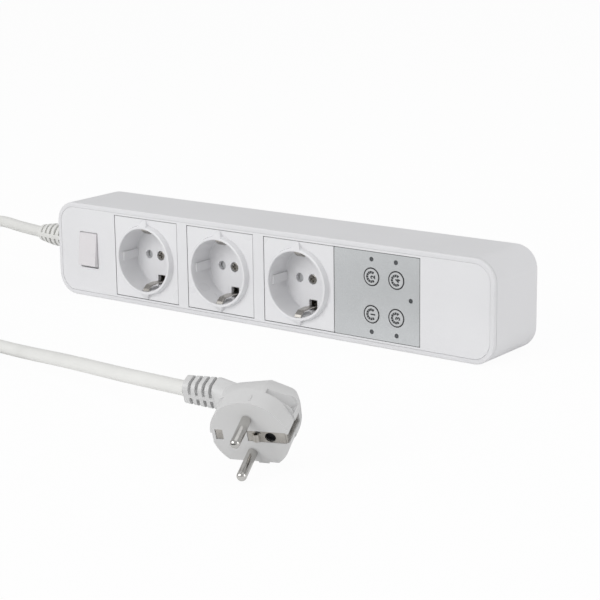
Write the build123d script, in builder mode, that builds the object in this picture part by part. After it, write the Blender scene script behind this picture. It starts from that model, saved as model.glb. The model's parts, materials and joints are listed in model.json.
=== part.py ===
"""Desk power strip: three earthed sockets, a rocker switch, a four-button panel and a lead with an angled plug.

Millimetres. X runs along the strip (the lead leaves at -X), -Y is the socket face, +Z is up. The strip stands on
its long side, and the origin is at the middle of the underside of its box, the lead left out.
"""

from build123d import *
from math import cos, radians, sin, tan
import os

# ---- Driving dimensions ----------------------------------------------------------------------------------
strip_length = 326.0
strip_height = 60.0
strip_depth = 48.0          # front frame face to back
ring_proud = 3.5            # socket ring above the front face
outline_radius = 13.5       # corners of the front outline
wall = 2.2                  # housing wall
back_wall = 2.4
back_radius = 2.5           # rounding of the back edge

frame_depth = 2.2           # front frame, face to seam
seam_gap = 0.25             # shadow line between frame and housing
frame_band = 2.8            # width of the frame seen from the front
frame_lip = (2.4, 4.0)      # inset of the locating lip, outside and inside
lip_depth = 5.2
fascia_thickness = 2.0
fascia_groove = 0.12        # shadow line between frame and fascia

module_size = 50.8
module_pitch = 59.2
module_first_x = -88.2      # middle of the left-hand socket
module_gap = 0.35           # gap round a module
flange_reach = 1.4          # how far a module reaches sideways behind the fascia
flange_thickness = 1.2
well_radius = 19.8
well_depth = 17.4           # ring top to well floor
well_wall = 1.7
well_floor = 2.6
ring_lip_radius = 20.9
ring_foot_radius = 22.2
pin_spacing = 19.0
pin_hole_radius = 2.8
screw_recess = 2.0          # depth of the middle screw's recess in the well floor
pin_radius = 2.4
pin_length = 19.0

panel_x = 85.3
panel_width = 58.4
panel_thickness = 1.6
button_columns = (82.0, 98.9)
button_rows = (19.05, 40.95)
button_radius = 4.8
button_hole_radius = 5.45
lamp_spots = ((82.0, 51.2), (98.6, 51.2), (108.6, 30.3), (82.0, 8.7), (99.1, 8.7))
lamp_radius = 1.3

rocker_x = -136.4
rocker_z = 30.5
rocker_window = (15.0, 23.2)
rocker_width = 14.4
rocker_tilt = 6.5           # each way from level; it rests with the top pressed in
rocker_pivot_depth = 4.0

cord_diameter = 7.4
cord_y = -2.25
cord_z = 31.8
gland_length = 33.0

coil_middle = (-253.2, -78.0)
coil_mean_radius = 42.0
lead_length = 1400.0

plug_centre = (161.3, -235.4, 18.2)
plug_yaw, plug_pitch, plug_roll = 19.1, 21.9, -0.9
plug_radius = 19.0
plug_foot = 14.8            # from the pins' middle down to the flat under the face
neck_reach = 21.5           # from the pins' middle to the root of the strain relief
neck_rise = 4.0             # that root's height over the pins' middle
neck_behind = 24.0          # its depth behind the plug's face
neck_tilt = 6.5
neck_length = 17.0

# ---- Derived places --------------------------------------------------------------------------------------
middle_z = strip_height / 2
front_y = ring_proud - (strip_depth + ring_proud) / 2
back_y = front_y + strip_depth
ring_y = front_y - ring_proud
seam_y = front_y + frame_depth
fascia_back_y = front_y + fascia_thickness
floor_y = ring_y + well_depth
floor_back_y = floor_y + well_floor
module_xs = [module_first_x + module_pitch * k for k in range(3)]
cup_radius = well_radius + well_wall
cup_back_y = floor_back_y + 16.8
rail_y = cup_back_y + 1.2
rail_start_x, rail_end_x = -114.0, 46.0
terminal_zs = [12.0 + 7.2 * k for k in range(6)]
rocker_pivot_y = front_y + rocker_pivot_depth
control_board_y = front_y + 8.0
relay_board_y = 2.0
post_front_y = -9.8
board_post_spots = ((70.0, 9.0), (70.0, 51.0), (140.0, 9.5), (140.0, 50.5))
panel_post_spots = ((60.5, 9.5), (60.5, 50.5), (110.3, 9.5), (110.3, 50.5))
clamp_x = -strip_length / 2 + 8.0
clamp_screw_reach = 7.4     # from the lead's axis to each clamp screw
screw_spots = [(x, z) for x in (-152.0, -58.6, 0.6, 150.0) for z in (10.0, 50.0)]

os.makedirs("parts", exist_ok=True)


def save(piece, label):
    """Label a finished piece and write its STEP file."""
    piece.label = label
    export_step(piece, f"parts/{label}.step")


def facing(y):
    """Sketch plane at depth y: its x is the strip's X, its y is Z, and it looks out of the socket face."""
    return Plane(origin=(0, y, 0), x_dir=(1, 0, 0), z_dir=(0, -1, 0))


def side_plane(x):
    """Sketch plane across the strip: its x is the strip's Y and its y is Z."""
    return Plane(origin=(x, 0, 0), x_dir=(0, 1, 0), z_dir=(1, 0, 0))


def outline(inset):
    """The strip's rounded outline, drawn in by an inset, for use inside a BuildSketch."""
    with Locations((0, middle_z)):
        RectangleRounded(strip_length - 2 * inset, strip_height - 2 * inset, outline_radius - inset)


def strip_profile(points, thickness):
    """Corner points of a bent metal strip that follows a line of points, with mitred bends."""
    half = thickness / 2
    left, right = [], []
    for k, point in enumerate(points):
        before = Vector(*points[max(k - 1, 0)])
        after = Vector(*points[min(k + 1, len(points) - 1)])
        here = Vector(*point)
        into = (here - before).normalized() if k else (after - here).normalized()
        out = (after - here).normalized() if k < len(points) - 1 else into
        across = (into + out).normalized()
        normal = Vector(-across.Y, across.X)
        reach = half / max(across.dot(into), 0.5)
        left.append((here.X + normal.X * reach, here.Y + normal.Y * reach))
        right.append((here.X - normal.X * reach, here.Y - normal.Y * reach))
    return left + right[::-1]


def cord_radii(route):
    """Bend radius at each corner of a route: 0.45 of its shorter run over the tangent of half the turn."""
    radii = []
    for a, b, c in zip(route, route[1:], route[2:]):
        into, out = Vector(*b) - Vector(*a), Vector(*c) - Vector(*b)
        half_turn = radians(into.get_angle(out)) / 2
        radii.append(0.45 * min(into.length, out.length) / tan(half_turn))
    return radii


def cord_tube(route, diameter, label, radii=None):
    """Round tube along straight runs joined by tangent arcs; prints its radii and checks its volume."""
    radii = radii or cord_radii(route)
    with BuildPart() as tube:
        with BuildLine() as path:
            FilletPolyline(*route, radius=radii)
        start = Vector(*route[0])
        heading = Vector(*route[1]) - start
        with BuildSketch(Plane(origin=start, z_dir=heading)):
            Circle(diameter / 2)
        sweep(path=path.wires()[0])
    length = path.wires()[0].length
    section = 3.14159265 * diameter**2 / 4
    print(label, "length", round(length, 1), "radii", [round(r, 1) for r in radii],
          "volume over section x length", round(tube.part.volume / (section * length), 4))
    return tube.part, length


# ---- Housing, frame and fascia ---------------------------------------------------------------------------
with BuildPart() as rear_housing:
    with BuildSketch(facing(seam_y + seam_gap)):
        outline(0)
    extrude(amount=-(back_y - seam_y - seam_gap))
    fillet(rear_housing.faces().sort_by(Axis.Y)[-1].edges(), back_radius)
    with BuildSketch(facing(seam_y + seam_gap)):
        outline(wall)
    extrude(amount=-(back_y - seam_y - seam_gap - back_wall), mode=Mode.SUBTRACT)
    # posts for the housing screws, the relay board and the lead's clamp, and a saddle behind the lead
    inside_back_y = back_y - back_wall
    with BuildSketch(facing(post_front_y)):
        with Locations(*screw_spots):
            Circle(3.4)
    extrude(amount=-(inside_back_y - post_front_y))
    with BuildSketch(facing(relay_board_y + 1.6)):
        with Locations(*board_post_spots):
            Circle(2.0)
    extrude(amount=-(inside_back_y - relay_board_y - 1.6))
    with BuildSketch(facing(cord_y + 0.5)):
        with Locations((clamp_x, cord_z - clamp_screw_reach), (clamp_x, cord_z + clamp_screw_reach)):
            Circle(2.8)
    extrude(amount=-(inside_back_y - cord_y - 0.5))
    with BuildSketch(facing(cord_y + cord_diameter / 2 + 0.1)):
        with Locations((clamp_x, cord_z)):
            Rectangle(6.0, 5.0)
    extrude(amount=-(inside_back_y - cord_y - cord_diameter / 2 - 0.1))
    with BuildSketch(facing(post_front_y)):
        with Locations(*screw_spots):
            Circle(1.7)
    extrude(amount=-(back_y - post_front_y), mode=Mode.SUBTRACT)
    with BuildSketch(facing(back_y)):
        with Locations(*screw_spots):
            Circle(3.0)
    extrude(amount=4.0, mode=Mode.SUBTRACT)
    with BuildSketch(facing(cord_y + 0.5)):
        with Locations((clamp_x, cord_z - clamp_screw_reach), (clamp_x, cord_z + clamp_screw_reach)):
            Circle(1.45)
    extrude(amount=-10.0, mode=Mode.SUBTRACT)
    # hole for the gland in the left wall
    with BuildSketch(Plane.YZ.offset(-strip_length / 2)):
        with Locations((cord_y, cord_z)):
            Circle(6.1)
    extrude(amount=wall + 0.1, mode=Mode.SUBTRACT)
save(rear_housing.part, "rear_housing")

with BuildPart() as front_frame:
    with BuildSketch(facing(front_y)):
        outline(0)
    extrude(amount=-frame_depth)
    fillet(front_frame.faces().sort_by(Axis.Y)[0].edges(), 0.9)
    with BuildSketch(facing(front_y)):
        outline(frame_band)
    extrude(amount=-frame_depth, mode=Mode.SUBTRACT)
    with BuildSketch(facing(fascia_back_y)):
        outline(frame_lip[0])
        with Locations((0, middle_z)):
            RectangleRounded(strip_length - 2 * frame_lip[1], strip_height - 2 * frame_lip[1],
                             outline_radius - frame_lip[1], mode=Mode.SUBTRACT)
    extrude(amount=-(lip_depth - fascia_thickness))
save(front_frame.part, "front_frame")

fascia_inset = frame_band + fascia_groove
with BuildPart() as fascia:
    with BuildSketch(facing(front_y)):
        outline(fascia_inset)
    extrude(amount=-fascia_thickness)
    chamfer(fascia.faces().sort_by(Axis.Y)[0].edges(), 0.15)
    with BuildSketch(facing(front_y)):
        with Locations(*[(x, middle_z) for x in module_xs]):
            Rectangle(module_size + 2 * module_gap, module_size + 2 * module_gap)
        with Locations((panel_x - 0.2, middle_z)):
            Rectangle(panel_width + 2 * module_gap + 0.4, module_size + 2 * module_gap)
        with Locations((rocker_x, rocker_z)):
            RectangleRounded(*rocker_window, 0.6)
    extrude(amount=-fascia_thickness, mode=Mode.SUBTRACT)
    # screw posts behind the plate
    with BuildSketch(facing(fascia_back_y)):
        with Locations(*screw_spots):
            Circle(2.6)
    extrude(amount=-(post_front_y - fascia_back_y))
    with BuildSketch(facing(post_front_y)):
        with Locations(*screw_spots):
            Circle(1.35)
    extrude(amount=7.0, mode=Mode.SUBTRACT)
save(fascia.part, "fascia")

with BuildPart() as housing_screws:
    with BuildSketch(facing(back_y - 2.0)):
        with Locations(*screw_spots):
            Circle(2.7)
    extrude(amount=1.8)
    with BuildSketch(facing(back_y - 3.8)):
        with Locations(*screw_spots):
            Circle(1.3)
    extrude(amount=back_y - 3.8 + 15.0)
    with BuildSketch(facing(back_y - 2.0)):
        with Locations(*screw_spots):
            Rectangle(3.2, 0.8)
            Rectangle(0.8, 3.2)
    extrude(amount=0.9, mode=Mode.SUBTRACT)
save(housing_screws.part, "housing_screws")


# ---- Sockets ---------------------------------------------------------------------------------------------
def clip_ramp(cx, side):
    """Ramp over an earth clip: it falls from the ring to the module's edge and narrows on its way."""
    foot, edge = well_radius + 0.9, module_size / 2 - 0.3
    with BuildPart() as ramp:
        with BuildSketch(side_plane(cx - 4.0)):
            with BuildLine():
                Polyline((front_y + 0.5, middle_z + side * foot), (ring_y + 0.2, middle_z + side * foot),
                         (ring_y + 0.2, middle_z + side * (foot + 0.8)),
                         (front_y - 0.3, middle_z + side * edge), (front_y + 0.5, middle_z + side * edge),
                         close=True)
            make_face()
        extrude(amount=8.0)
        with BuildSketch(facing(front_y + 0.5)):
            with BuildLine():
                Polyline((cx - 3.8, middle_z + side * foot), (cx + 3.8, middle_z + side * foot),
                         (cx + 0.7, middle_z + side * edge), (cx - 0.7, middle_z + side * edge), close=True)
            make_face()
        extrude(amount=front_y + 0.5 - ring_y, mode=Mode.INTERSECT)
    return ramp.part


def socket_insert(cx, right_flange):
    """Square plate with its raised ring, round well, floor, keys and the slots of the earth clip.

    A flange behind the fascia reaches out to the left, and to the right too where the fascia goes on.
    """
    axis_plane = Plane(origin=(cx, 0, middle_z), x_dir=(1, 0, 0), z_dir=(0, 0, 1))
    with BuildPart() as insert:
        with BuildSketch(facing(front_y)):
            with Locations((cx, middle_z)):
                RectangleRounded(module_size, module_size, 0.6)
        extrude(amount=-fascia_thickness)
        chamfer(insert.faces().sort_by(Axis.Y)[0].edges(), 0.25)
        flange_left = module_size / 2 + flange_reach
        flange_right = module_size / 2 + right_flange
        with BuildSketch(facing(fascia_back_y)):
            with Locations((cx + (flange_right - flange_left) / 2, middle_z)):
                Rectangle(flange_left + flange_right, module_size)
        extrude(amount=-flange_thickness)
        with BuildSketch(axis_plane):
            with BuildLine():
                Polyline((0, floor_y), (0, floor_back_y), (cup_radius, floor_back_y), (cup_radius, front_y + 0.5),
                         (ring_foot_radius, front_y), (ring_foot_radius - 0.7, ring_y + 0.7))
                ThreePointArc((ring_foot_radius - 0.7, ring_y + 0.7), (ring_foot_radius - 0.9, ring_y + 0.2),
                              (ring_lip_radius, ring_y))
                Line((ring_lip_radius, ring_y), (well_radius + 0.6, ring_y))
                ThreePointArc((well_radius + 0.6, ring_y), (well_radius + 0.16, ring_y + 0.2),
                              (well_radius, ring_y + 0.7))
                Line((well_radius, ring_y + 0.7), (well_radius, floor_y - 0.6))
                Line((well_radius, floor_y - 0.6), (well_radius - 0.6, floor_y))
                Line((well_radius - 0.6, floor_y), (0, floor_y))
            make_face()
        with BuildSketch(facing(front_y), mode=Mode.PRIVATE) as well_mouth:
            with Locations((cx, middle_z)):
                Circle(well_radius)
        extrude(well_mouth.sketch, amount=-fascia_thickness - flange_thickness, mode=Mode.SUBTRACT)
        revolve(axis=Axis((cx, 0, middle_z), (0, 1, 0)))
        for side in (-1, 1):
            add(clip_ramp(cx, side))
        # keys on the left and right of the well
        for side in (-1, 1):
            with BuildSketch(facing(ring_y + 4.0)):
                with Locations((cx + side * (well_radius - 0.3), middle_z)):
                    Rectangle(1.8, 5.4)
            extrude(amount=-(well_depth - 3.8))
        # channel of the earth clip in the wall and its slot in the floor
        for side in (-1, 1):
            with BuildSketch(facing(ring_y + 1.2)):
                with Locations((cx, middle_z + side * 18.6)):
                    Rectangle(5.6, 4.4)
            extrude(amount=-(well_depth - 1.2), mode=Mode.SUBTRACT)
            with BuildSketch(facing(floor_y)):
                with Locations((cx + 0.3, middle_z + side * 15.7)):
                    Rectangle(6.0, 6.6)
            extrude(amount=-well_floor, mode=Mode.SUBTRACT)
        # pin holes and the recess and hole of the middle screw
        with BuildSketch(facing(floor_y)):
            with Locations((cx - pin_spacing / 2, middle_z), (cx + pin_spacing / 2, middle_z)):
                Circle(pin_hole_radius)
        extrude(amount=-well_floor, mode=Mode.SUBTRACT)
        with BuildSketch(facing(floor_y)):
            with Locations((cx, middle_z)):
                Circle(3.1)
        extrude(amount=-screw_recess, mode=Mode.SUBTRACT)
        with BuildSketch(facing(floor_y + screw_recess)):
            with Locations((cx, middle_z)):
                Circle(1.5)
        extrude(amount=-(well_floor - screw_recess), mode=Mode.SUBTRACT)
    return insert.part


def contact_carrier(cx):
    """Round cup behind the well floor, with a post for the middle screw and slots for the tabs."""
    with BuildPart() as carrier:
        with BuildSketch(facing(floor_back_y)):
            with Locations((cx, middle_z)):
                Circle(cup_radius)
        extrude(amount=-(cup_back_y - floor_back_y))
        with BuildSketch(facing(floor_back_y)):
            with Locations((cx, middle_z)):
                Circle(cup_radius - 1.5)
        extrude(amount=-(cup_back_y - floor_back_y - 1.6), mode=Mode.SUBTRACT)
        with BuildSketch(facing(-1.8)):
            with Locations((cx, middle_z)):
                Circle(3.0)
        extrude(amount=-(cup_back_y - 1.6 + 1.8))
        with BuildSketch(facing(-1.8)):
            with Locations((cx, middle_z)):
                Circle(1.35)
        extrude(amount=-9.0, mode=Mode.SUBTRACT)
        with BuildSketch(facing(cup_back_y)):
            with Locations((cx + 9.5, middle_z + 2.5), (cx - 9.5, middle_z - 9.25), (cx, middle_z + 12.5)):
                Rectangle(4.0, 4.6)
        extrude(amount=1.6, mode=Mode.SUBTRACT)
    return carrier.part


def shutter(cx):
    """Sliding plate behind the pin holes: two lands that cover them and a slot between."""
    with BuildPart() as plate:
        with BuildSketch(facing(floor_back_y + 0.3)):
            with BuildLine():
                Polyline((cx - 12.4, middle_z - 5), (cx + 13.4, middle_z - 5), (cx + 13.4, middle_z + 5),
                         (cx - 12.4, middle_z + 5), close=True)
            make_face()
            with Locations((cx + 3.8, middle_z)):
                SlotOverall(6.0, 6.0 - 0.01, mode=Mode.SUBTRACT)
            with Locations((cx - 0.2, middle_z)):
                Rectangle(14.0, 3.4, mode=Mode.SUBTRACT)
        extrude(amount=-2.0)
        leading = plate.edges().filter_by(Axis.Z).sort_by(Axis.X)[0:2].sort_by(Axis.Y)[0]
        chamfer(leading, 0.4)
    return plate.part


def bar(x_range, y_range, z_range):
    """Plain rectangular bar between two corners, for use inside a BuildPart."""
    middle = [(low + high) / 2 for low, high in (x_range, y_range, z_range)]
    with Locations(tuple(middle)):
        Box(x_range[1] - x_range[0], y_range[1] - y_range[0], z_range[1] - z_range[0])


def pin_sleeve(x):
    """Two leaves and a base that grip one pin, for use inside a BuildPart."""
    for side in (-1, 1):
        leaf_x = x + side * 2.8
        bar((leaf_x - 0.3, leaf_x + 0.3), (-1.6, 8.0), (middle_z - 3.5, middle_z + 3.5))
    bar((x - 3.1, x + 3.1), (8.0, 8.8), (middle_z - 3.5, middle_z + 3.5))


def well_screw(cx):
    """Cross-head screw in the middle of the well floor."""
    with BuildPart() as screw:
        with BuildSketch(facing(floor_y + screw_recess)):
            with Locations((cx, middle_z)):
                Circle(2.7)
        extrude(amount=1.4)
        fillet(screw.faces().sort_by(Axis.Y)[0].edges(), 0.5)
        with BuildSketch(facing(floor_y + screw_recess - 1.4)):
            with Locations((cx, middle_z)):
                Rectangle(3.8, 1.0)
                Rectangle(1.0, 3.8)
        extrude(amount=-1.1, mode=Mode.SUBTRACT)
        with BuildSketch(facing(floor_y + screw_recess)):
            with Locations((cx, middle_z)):
                Circle(1.3)
        extrude(amount=-12.0)
    return screw.part


for number, cx in enumerate(module_xs, start=1):
    save(socket_insert(cx, 0.0 if number == len(module_xs) else flange_reach), f"socket_insert_{number}")
    save(contact_carrier(cx), f"contact_carrier_{number}")
    save(shutter(cx), f"shutter_{number}")

save(Compound(children=[well_screw(cx) for cx in module_xs]), "well_screws")

with BuildPart() as live_contacts:
    for cx in module_xs:
        pin_sleeve(cx + 9.5)
        bar((cx + 8.0, cx + 11.0), (8.8, 16.0), (middle_z + 2.0, middle_z + 3.0))
save(live_contacts.part, "live_contacts")

with BuildPart() as neutral_rail:
    for cx in module_xs:
        pin_sleeve(cx - 9.5)
        bar((cx - 12.6, cx - 6.4), (8.0, 8.8), (middle_z - 11.0, middle_z))
        bar((cx - 11.0, cx - 8.0), (8.8, rail_y + 0.2), (middle_z - 11.0, middle_z - 10.0))
    bar((rail_start_x, rail_end_x), (rail_y, rail_y + 0.8), (middle_z - 12.0, middle_z - 7.0))
save(neutral_rail.part, "neutral_rail")

with BuildPart() as earth_rail:
    for cx in module_xs:
        for side in (-1, 1):
            arm = [(-2.55, side * 9.0), (-2.55, side * 16.6), (floor_y + 0.6, side * 16.6),
                   (floor_y - 6.0, side * 16.1), (ring_y + 5.6, side * 16.6), (ring_y + 3.0, side * 18.6),
                   (ring_y + 2.4, side * 20.0)]
            corners = [(y, middle_z + z) for y, z in strip_profile(arm, 0.8)]
            with BuildSketch(side_plane(cx - 2.25)):
                with BuildLine():
                    Polyline(*corners, close=True)
                make_face()
            extrude(amount=4.5)
        bar((cx - 2.25, cx + 2.25), (-2.95, -2.15), (middle_z - 9.2, middle_z + 9.2))
        bar((cx - 1.5, cx + 1.5), (-2.6, rail_y + 0.2), (middle_z + 12.0, middle_z + 13.0))
    bar((rail_start_x, rail_end_x), (rail_y, rail_y + 0.8), (middle_z + 10.5, middle_z + 15.5))
    with BuildSketch(facing(-3.0)):
        with Locations(*[(cx, middle_z) for cx in module_xs]):
            Circle(1.6)
    extrude(amount=-1.0, mode=Mode.SUBTRACT)
save(earth_rail.part, "earth_rail")

# ---- Button panel and its boards -------------------------------------------------------------------------
button_spots = [(x, z) for x in button_columns for z in button_rows]

with BuildPart() as button_panel:
    with BuildSketch(facing(front_y)):
        with Locations((panel_x, middle_z)):
            RectangleRounded(panel_width, module_size, 0.6)
        with Locations(*button_spots):
            Circle(button_hole_radius, mode=Mode.SUBTRACT)
        with Locations(*lamp_spots):
            Circle(lamp_radius + 0.1, mode=Mode.SUBTRACT)
    extrude(amount=-panel_thickness)
    # rim behind the panel, which reaches behind the fascia on the right, and posts for the board
    with BuildSketch(facing(front_y + panel_thickness)):
        with Locations((panel_x, middle_z)):
            Rectangle(panel_width, module_size)
            Rectangle(panel_width - 3.0, module_size - 4.6, mode=Mode.SUBTRACT)
    extrude(amount=-(fascia_thickness - panel_thickness))
    with BuildSketch(facing(fascia_back_y)):
        with Locations((panel_x, middle_z)):
            Rectangle(panel_width, module_size)
        with Locations((panel_x + panel_width / 2, middle_z)):
            Rectangle(2 * flange_reach, module_size)
        with Locations((panel_x, middle_z)):
            Rectangle(panel_width - 3.0, module_size - 4.6, mode=Mode.SUBTRACT)
    extrude(amount=-flange_thickness)
    with BuildSketch(facing(front_y + panel_thickness)):
        with Locations(*panel_post_spots):
            Circle(1.5)
    extrude(amount=-(control_board_y - front_y - panel_thickness))
save(button_panel.part, "button_panel")

for number, (x, z) in zip((1, 2, 3, 4), button_spots):
    with BuildPart() as button:
        with BuildSketch(facing(front_y + 2.9)):
            with Locations((x, z)):
                Circle(6.6)
        extrude(amount=1.0)
        with BuildSketch(facing(front_y + 1.9)):
            with Locations((x, z)):
                Circle(button_radius)
        extrude(amount=2.2)
        chamfer(button.faces().sort_by(Axis.Y)[0].edges(), 0.3)
        with BuildSketch(facing(front_y + 2.9)):
            with Locations((x, z)):
                Circle(1.6)
        extrude(amount=-1.5)
    save(button.part, f"button_{number}")
    with BuildPart() as plunger:
        with BuildSketch(facing(front_y + 4.4)):
            with Locations((x, z)):
                Circle(1.7)
        extrude(amount=-1.8)
    save(plunger.part, f"plunger_{number}")

with BuildPart() as push_switches:
    with BuildSketch(facing(control_board_y)):
        with Locations(*button_spots):
            Rectangle(6.2, 6.2)
    extrude(amount=2.6)
    with BuildSketch(facing(control_board_y - 2.6)):
        with Locations(*button_spots):
            Circle(1.8)
    extrude(amount=-1.6, mode=Mode.SUBTRACT)
save(push_switches.part, "push_switches")

with BuildPart() as lamp_lenses:
    with BuildSketch(facing(front_y + 0.05)):
        with Locations(*lamp_spots):
            Circle(lamp_radius)
    extrude(amount=-(control_board_y - 1.0 - front_y - 0.05))
save(lamp_lenses.part, "lamp_lenses")

with BuildPart() as lamp_chips:
    with BuildSketch(facing(control_board_y)):
        with Locations(*lamp_spots):
            Rectangle(2.0, 1.6)
    extrude(amount=1.0)
save(lamp_chips.part, "lamp_chips")

with BuildPart() as control_board:
    bar((58.0, 112.5), (control_board_y, control_board_y + 1.6), (6.5, 53.5))
save(control_board.part, "control_board")

with BuildPart() as board_connector:
    bar((64.0, 76.0), (control_board_y + 1.6, relay_board_y), (9.0, 12.0))
save(board_connector.part, "board_connector")

board_back_y = relay_board_y + 1.6
with BuildPart() as relay_board:
    bar((56.5, 145.0), (relay_board_y, board_back_y), (7.0, 53.0))
save(relay_board.part, "relay_board")

with BuildPart() as relays:
    for x in (78.0, 100.0):
        for z in (19.0, 41.0):
            bar((x - 9.5, x + 9.5), (board_back_y, board_back_y + 15.3), (z - 7.8, z + 7.8))
    fillet(relays.edges().filter_by(Axis.Y), 0.8)
save(relays.part, "relays")

with BuildPart() as supply_transformer:
    bar((114.0, 136.0), (board_back_y, board_back_y + 15.0), (11.0, 29.0))
    bar((116.5, 133.5), (board_back_y + 2.5, board_back_y + 12.5), (8.5, 31.5))
save(supply_transformer.part, "supply_transformer")

with BuildPart() as filter_capacitor:
    with BuildSketch(facing(board_back_y)):
        with Locations((125.0, 42.5)):
            Circle(8.0)
    extrude(amount=-15.0)
    fillet(filter_capacitor.faces().sort_by(Axis.Y)[-1].edges(), 1.0)
save(filter_capacitor.part, "filter_capacitor")

with BuildPart() as terminal_block:
    bar((56.6, 66.0), (board_back_y, 14.0), (8.0, 52.0))
    with BuildSketch(facing(14.0)):
        with Locations(*[(61.3, terminal_z) for terminal_z in terminal_zs]):
            Circle(2.0)
    extrude(amount=3.0, mode=Mode.SUBTRACT)
save(terminal_block.part, "terminal_block")

# ---- Rocker switch ---------------------------------------------------------------------------------------
tilt = radians(rocker_tilt)


def rocker_point(up, out):
    """A point of the rocker's side profile, up along its face and out from its pivot, at its rest tilt."""
    y = rocker_pivot_y - (out * cos(tilt) - up * sin(tilt))
    return y, rocker_z + up * cos(tilt) + out * sin(tilt)


rocker_side = [(-10.3, 5.9), (10.3, 5.9), (10.8, 4.7), (11.1, 1.5), (11.1, 0), (8, -3), (-8, -3), (-11.1, 0),
               (-11.1, 1.5), (-10.8, 4.7)]
with BuildPart() as rocker_cap:
    with BuildSketch(side_plane(rocker_x - rocker_width / 2)):
        with BuildLine():
            Polyline(*[rocker_point(up, out) for up, out in rocker_side], close=True)
        make_face()
    extrude(amount=rocker_width)
    front_edges = rocker_cap.faces().sort_by(Axis.Y)[0].edges()
    fillet(front_edges, 0.5)
    with BuildSketch(side_plane(rocker_x - rocker_width / 2 - 1.1)):
        with Locations((rocker_pivot_y, rocker_z)):
            Circle(1.5)
    extrude(amount=rocker_width + 2.2)
save(rocker_cap.part, "rocker_cap")

with BuildPart() as rocker_body:
    bar((rocker_x - 8.5, rocker_x + 8.5), (fascia_back_y, -2.0), (rocker_z - 13.0, rocker_z + 13.0))
    bar((rocker_x - 7.5, rocker_x + 7.5), (-4.0, -2.0), (rocker_z - 12.0, rocker_z + 12.0))
    with BuildSketch(facing(fascia_back_y)):
        with Locations((rocker_x, rocker_z)):
            Rectangle(15.0, 24.2)
    extrude(amount=-(-4.0 - fascia_back_y), mode=Mode.SUBTRACT)
    with BuildSketch(side_plane(rocker_x - 8.5)):
        with Locations((rocker_pivot_y, rocker_z)):
            Circle(1.56)
    extrude(amount=17.0, mode=Mode.SUBTRACT)
save(rocker_body.part, "rocker_body")

with BuildPart() as rocker_terminals:
    for up in (-7.0, 0.0, 7.0):
        bar((rocker_x - 3.1, rocker_x + 3.1), (-2.0, 6.5), (rocker_z + up - 0.4, rocker_z + up + 0.4))
save(rocker_terminals.part, "rocker_terminals")

# ---- Lead inlet ------------------------------------------------------------------------------------------
left_x = -strip_length / 2
cord_radius = cord_diameter / 2
gland_tip = (left_x - gland_length, cord_y, cord_z)
inlet_axis = Axis((0, cord_y, cord_z), (1, 0, 0))
with BuildPart() as cord_gland:
    with BuildSketch(Plane(origin=(0, cord_y, cord_z), x_dir=(1, 0, 0), z_dir=(0, -1, 0))):
        with BuildLine():
            Polyline((left_x + 4.4, cord_radius + 0.05), (left_x + 4.4, 8.2), (left_x + wall + 0.1, 8.2),
                     (left_x + wall + 0.1, 6.0), (left_x - 0.1, 6.0), (left_x - 0.1, 8.0), (left_x - 10.0, 7.9),
                     (left_x - 23.0, 7.1), (left_x - gland_length, 5.3),
                     (left_x - gland_length, cord_radius + 0.05), close=True)
        make_face()
    revolve(axis=inlet_axis)
    # ribs: slots cut from above and below, and a spine is left in front and behind
    for k in range(5):
        slot_x = left_x - gland_length + 2.5 + 4.4 * k
        with BuildSketch(Plane.YZ.offset(slot_x)):
            with Locations((cord_y, cord_z)):
                Circle(9.0)
                Circle(4.6, mode=Mode.SUBTRACT)
                Rectangle(18.0, 2.6, mode=Mode.SUBTRACT)
        extrude(amount=1.8, mode=Mode.SUBTRACT)
save(cord_gland.part, "cord_gland")

with BuildPart() as cord_inner_end:
    with BuildSketch(Plane.YZ.offset(left_x - gland_length)):
        with Locations((cord_y, cord_z)):
            Circle(cord_radius)
    extrude(amount=gland_length + 13.0)
save(cord_inner_end.part, "cord_inner_end")

clamp_screw_spots = ((clamp_x, cord_z - clamp_screw_reach), (clamp_x, cord_z + clamp_screw_reach))
with BuildPart() as cord_clamp:
    bar((clamp_x - 3.0, clamp_x + 3.0), (cord_y - 6.5, cord_y + 0.5), (cord_z - 10.0, cord_z + 10.0))
    with BuildSketch(Plane.YZ.offset(clamp_x - 3.0)):
        with Locations((cord_y, cord_z)):
            Circle(cord_radius + 0.05)
    extrude(amount=6.0, mode=Mode.SUBTRACT)
    with BuildSketch(facing(cord_y + 0.5)):
        with Locations(*clamp_screw_spots):
            Circle(1.5)
    extrude(amount=7.0, mode=Mode.SUBTRACT)
save(cord_clamp.part, "cord_clamp")

with BuildPart() as clamp_screws:
    with BuildSketch(facing(cord_y - 6.5)):
        with Locations(*clamp_screw_spots):
            Circle(2.5)
    extrude(amount=1.8)
    with BuildSketch(facing(cord_y - 6.5)):
        with Locations(*clamp_screw_spots):
            Circle(1.4)
    extrude(amount=-14.0)
    with BuildSketch(facing(cord_y - 8.3)):
        with Locations(*clamp_screw_spots):
            Rectangle(3.2, 0.8)
            Rectangle(0.8, 3.2)
    extrude(amount=-0.9, mode=Mode.SUBTRACT)
save(clamp_screws.part, "clamp_screws")

# ---- Inner wires -----------------------------------------------------------------------------------------
core_diameter = 2.3
tail_x = left_x + 13.0
core_offsets = {"live": (1.6, 0.0), "neutral": (-0.9, -1.4), "earth": (-0.9, 1.4)}


def core_start(name):
    """The first two points of a core: the end of the lead's sheath, and straight on out of it."""
    dy, dz = core_offsets[name]
    return [(tail_x, cord_y + dy, cord_z + dz), (tail_x + 2.6, cord_y + dy, cord_z + dz)]


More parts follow.
